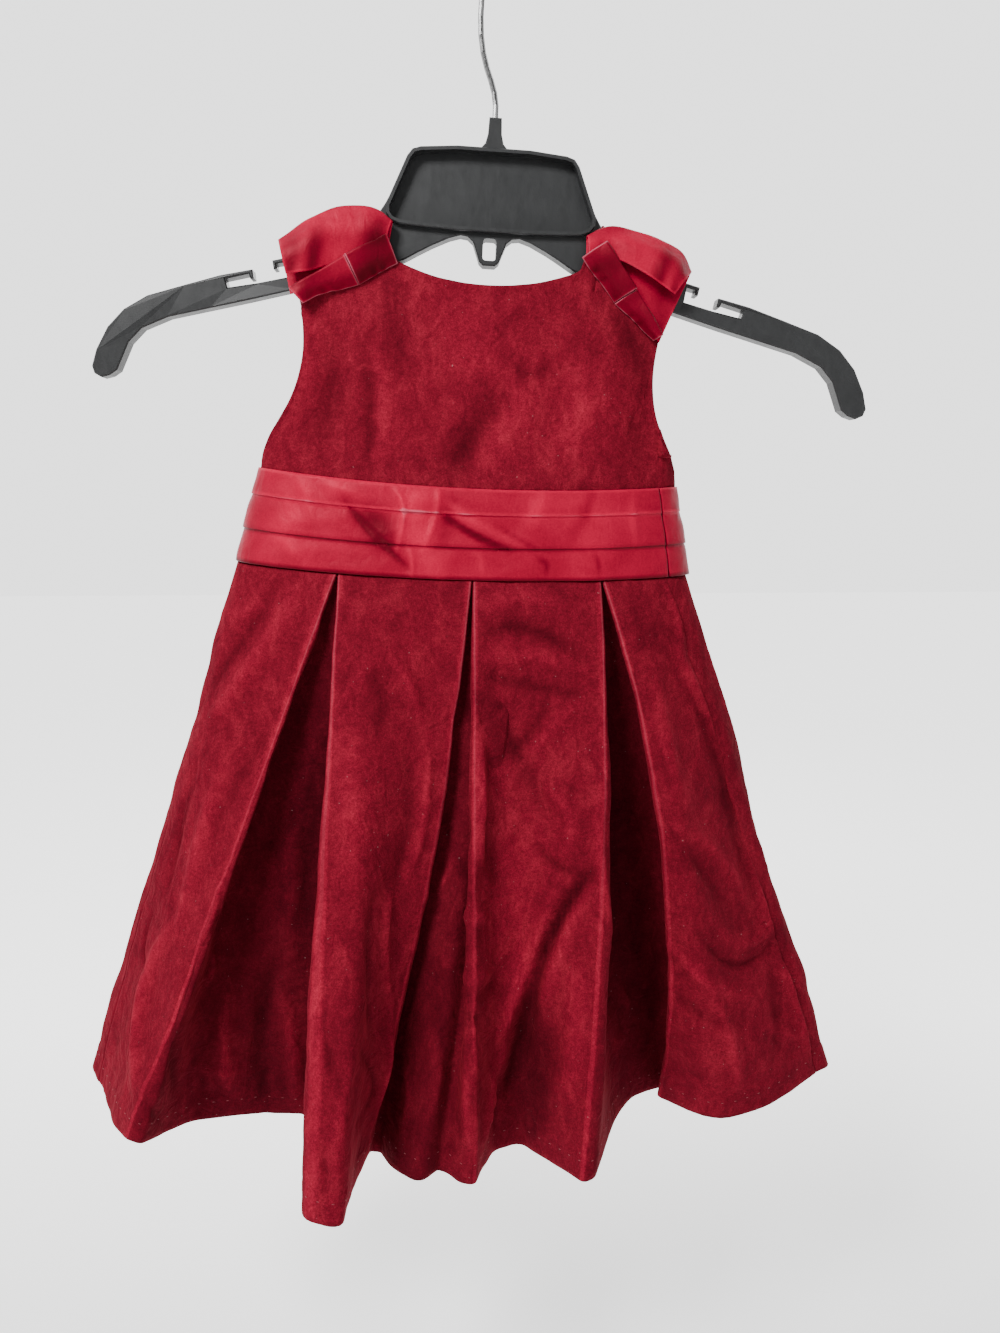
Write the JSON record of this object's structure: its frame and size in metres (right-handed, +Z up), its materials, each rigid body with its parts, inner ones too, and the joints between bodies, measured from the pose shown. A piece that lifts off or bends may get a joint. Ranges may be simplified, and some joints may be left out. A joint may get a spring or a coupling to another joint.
{
  "type": "toddler party dress on a hanger",
  "caption": "Sleeveless toddler party dress in dark red velvet with a tiered satin sash, box-pleated skirt and satin shoulder bows, on a black plastic top hanger.",
  "frame": {"origin": "inside top of the hook's loop, where a rail carries it", "axes": "+X along the hanger towards the viewer's right, -Y out of the dress's front, +Z up"},
  "size_m": [0.4828, 0.2149, 0.6871],
  "materials": {
    "velvet": "dark red cotton-look velvet with a short brushed nap",
    "satin": "crimson satin with a soft sheen",
    "black_plastic": "moulded black plastic with a low satin gloss",
    "steel_wire": "drawn steel wire",
    "red_button": "dyed red plastic"
  },
  "bodies": {
    "root": {"hanger_body": "black_plastic", "hanger_hook": "steel_wire", "bodice_front": "velvet", "bodice_back_right": "velvet", "bodice_back_left": "velvet", "sash_front": "satin", "sash_back_right": "satin", "sash_back_left": "satin", "skirt_front": "velvet", "skirt_back_right": "velvet", "skirt_back_left": "velvet", "bow_left_loop": "satin", "bow_left_band": "satin", "bow_left_knot": "satin", "bow_right_loop": "satin", "bow_right_band": "satin", "bow_right_knot": "satin", "button_1": "red_button", "button_2": "red_button", "button_3": "red_button", "button_4": "red_button"}
  },
  "joints": []
}
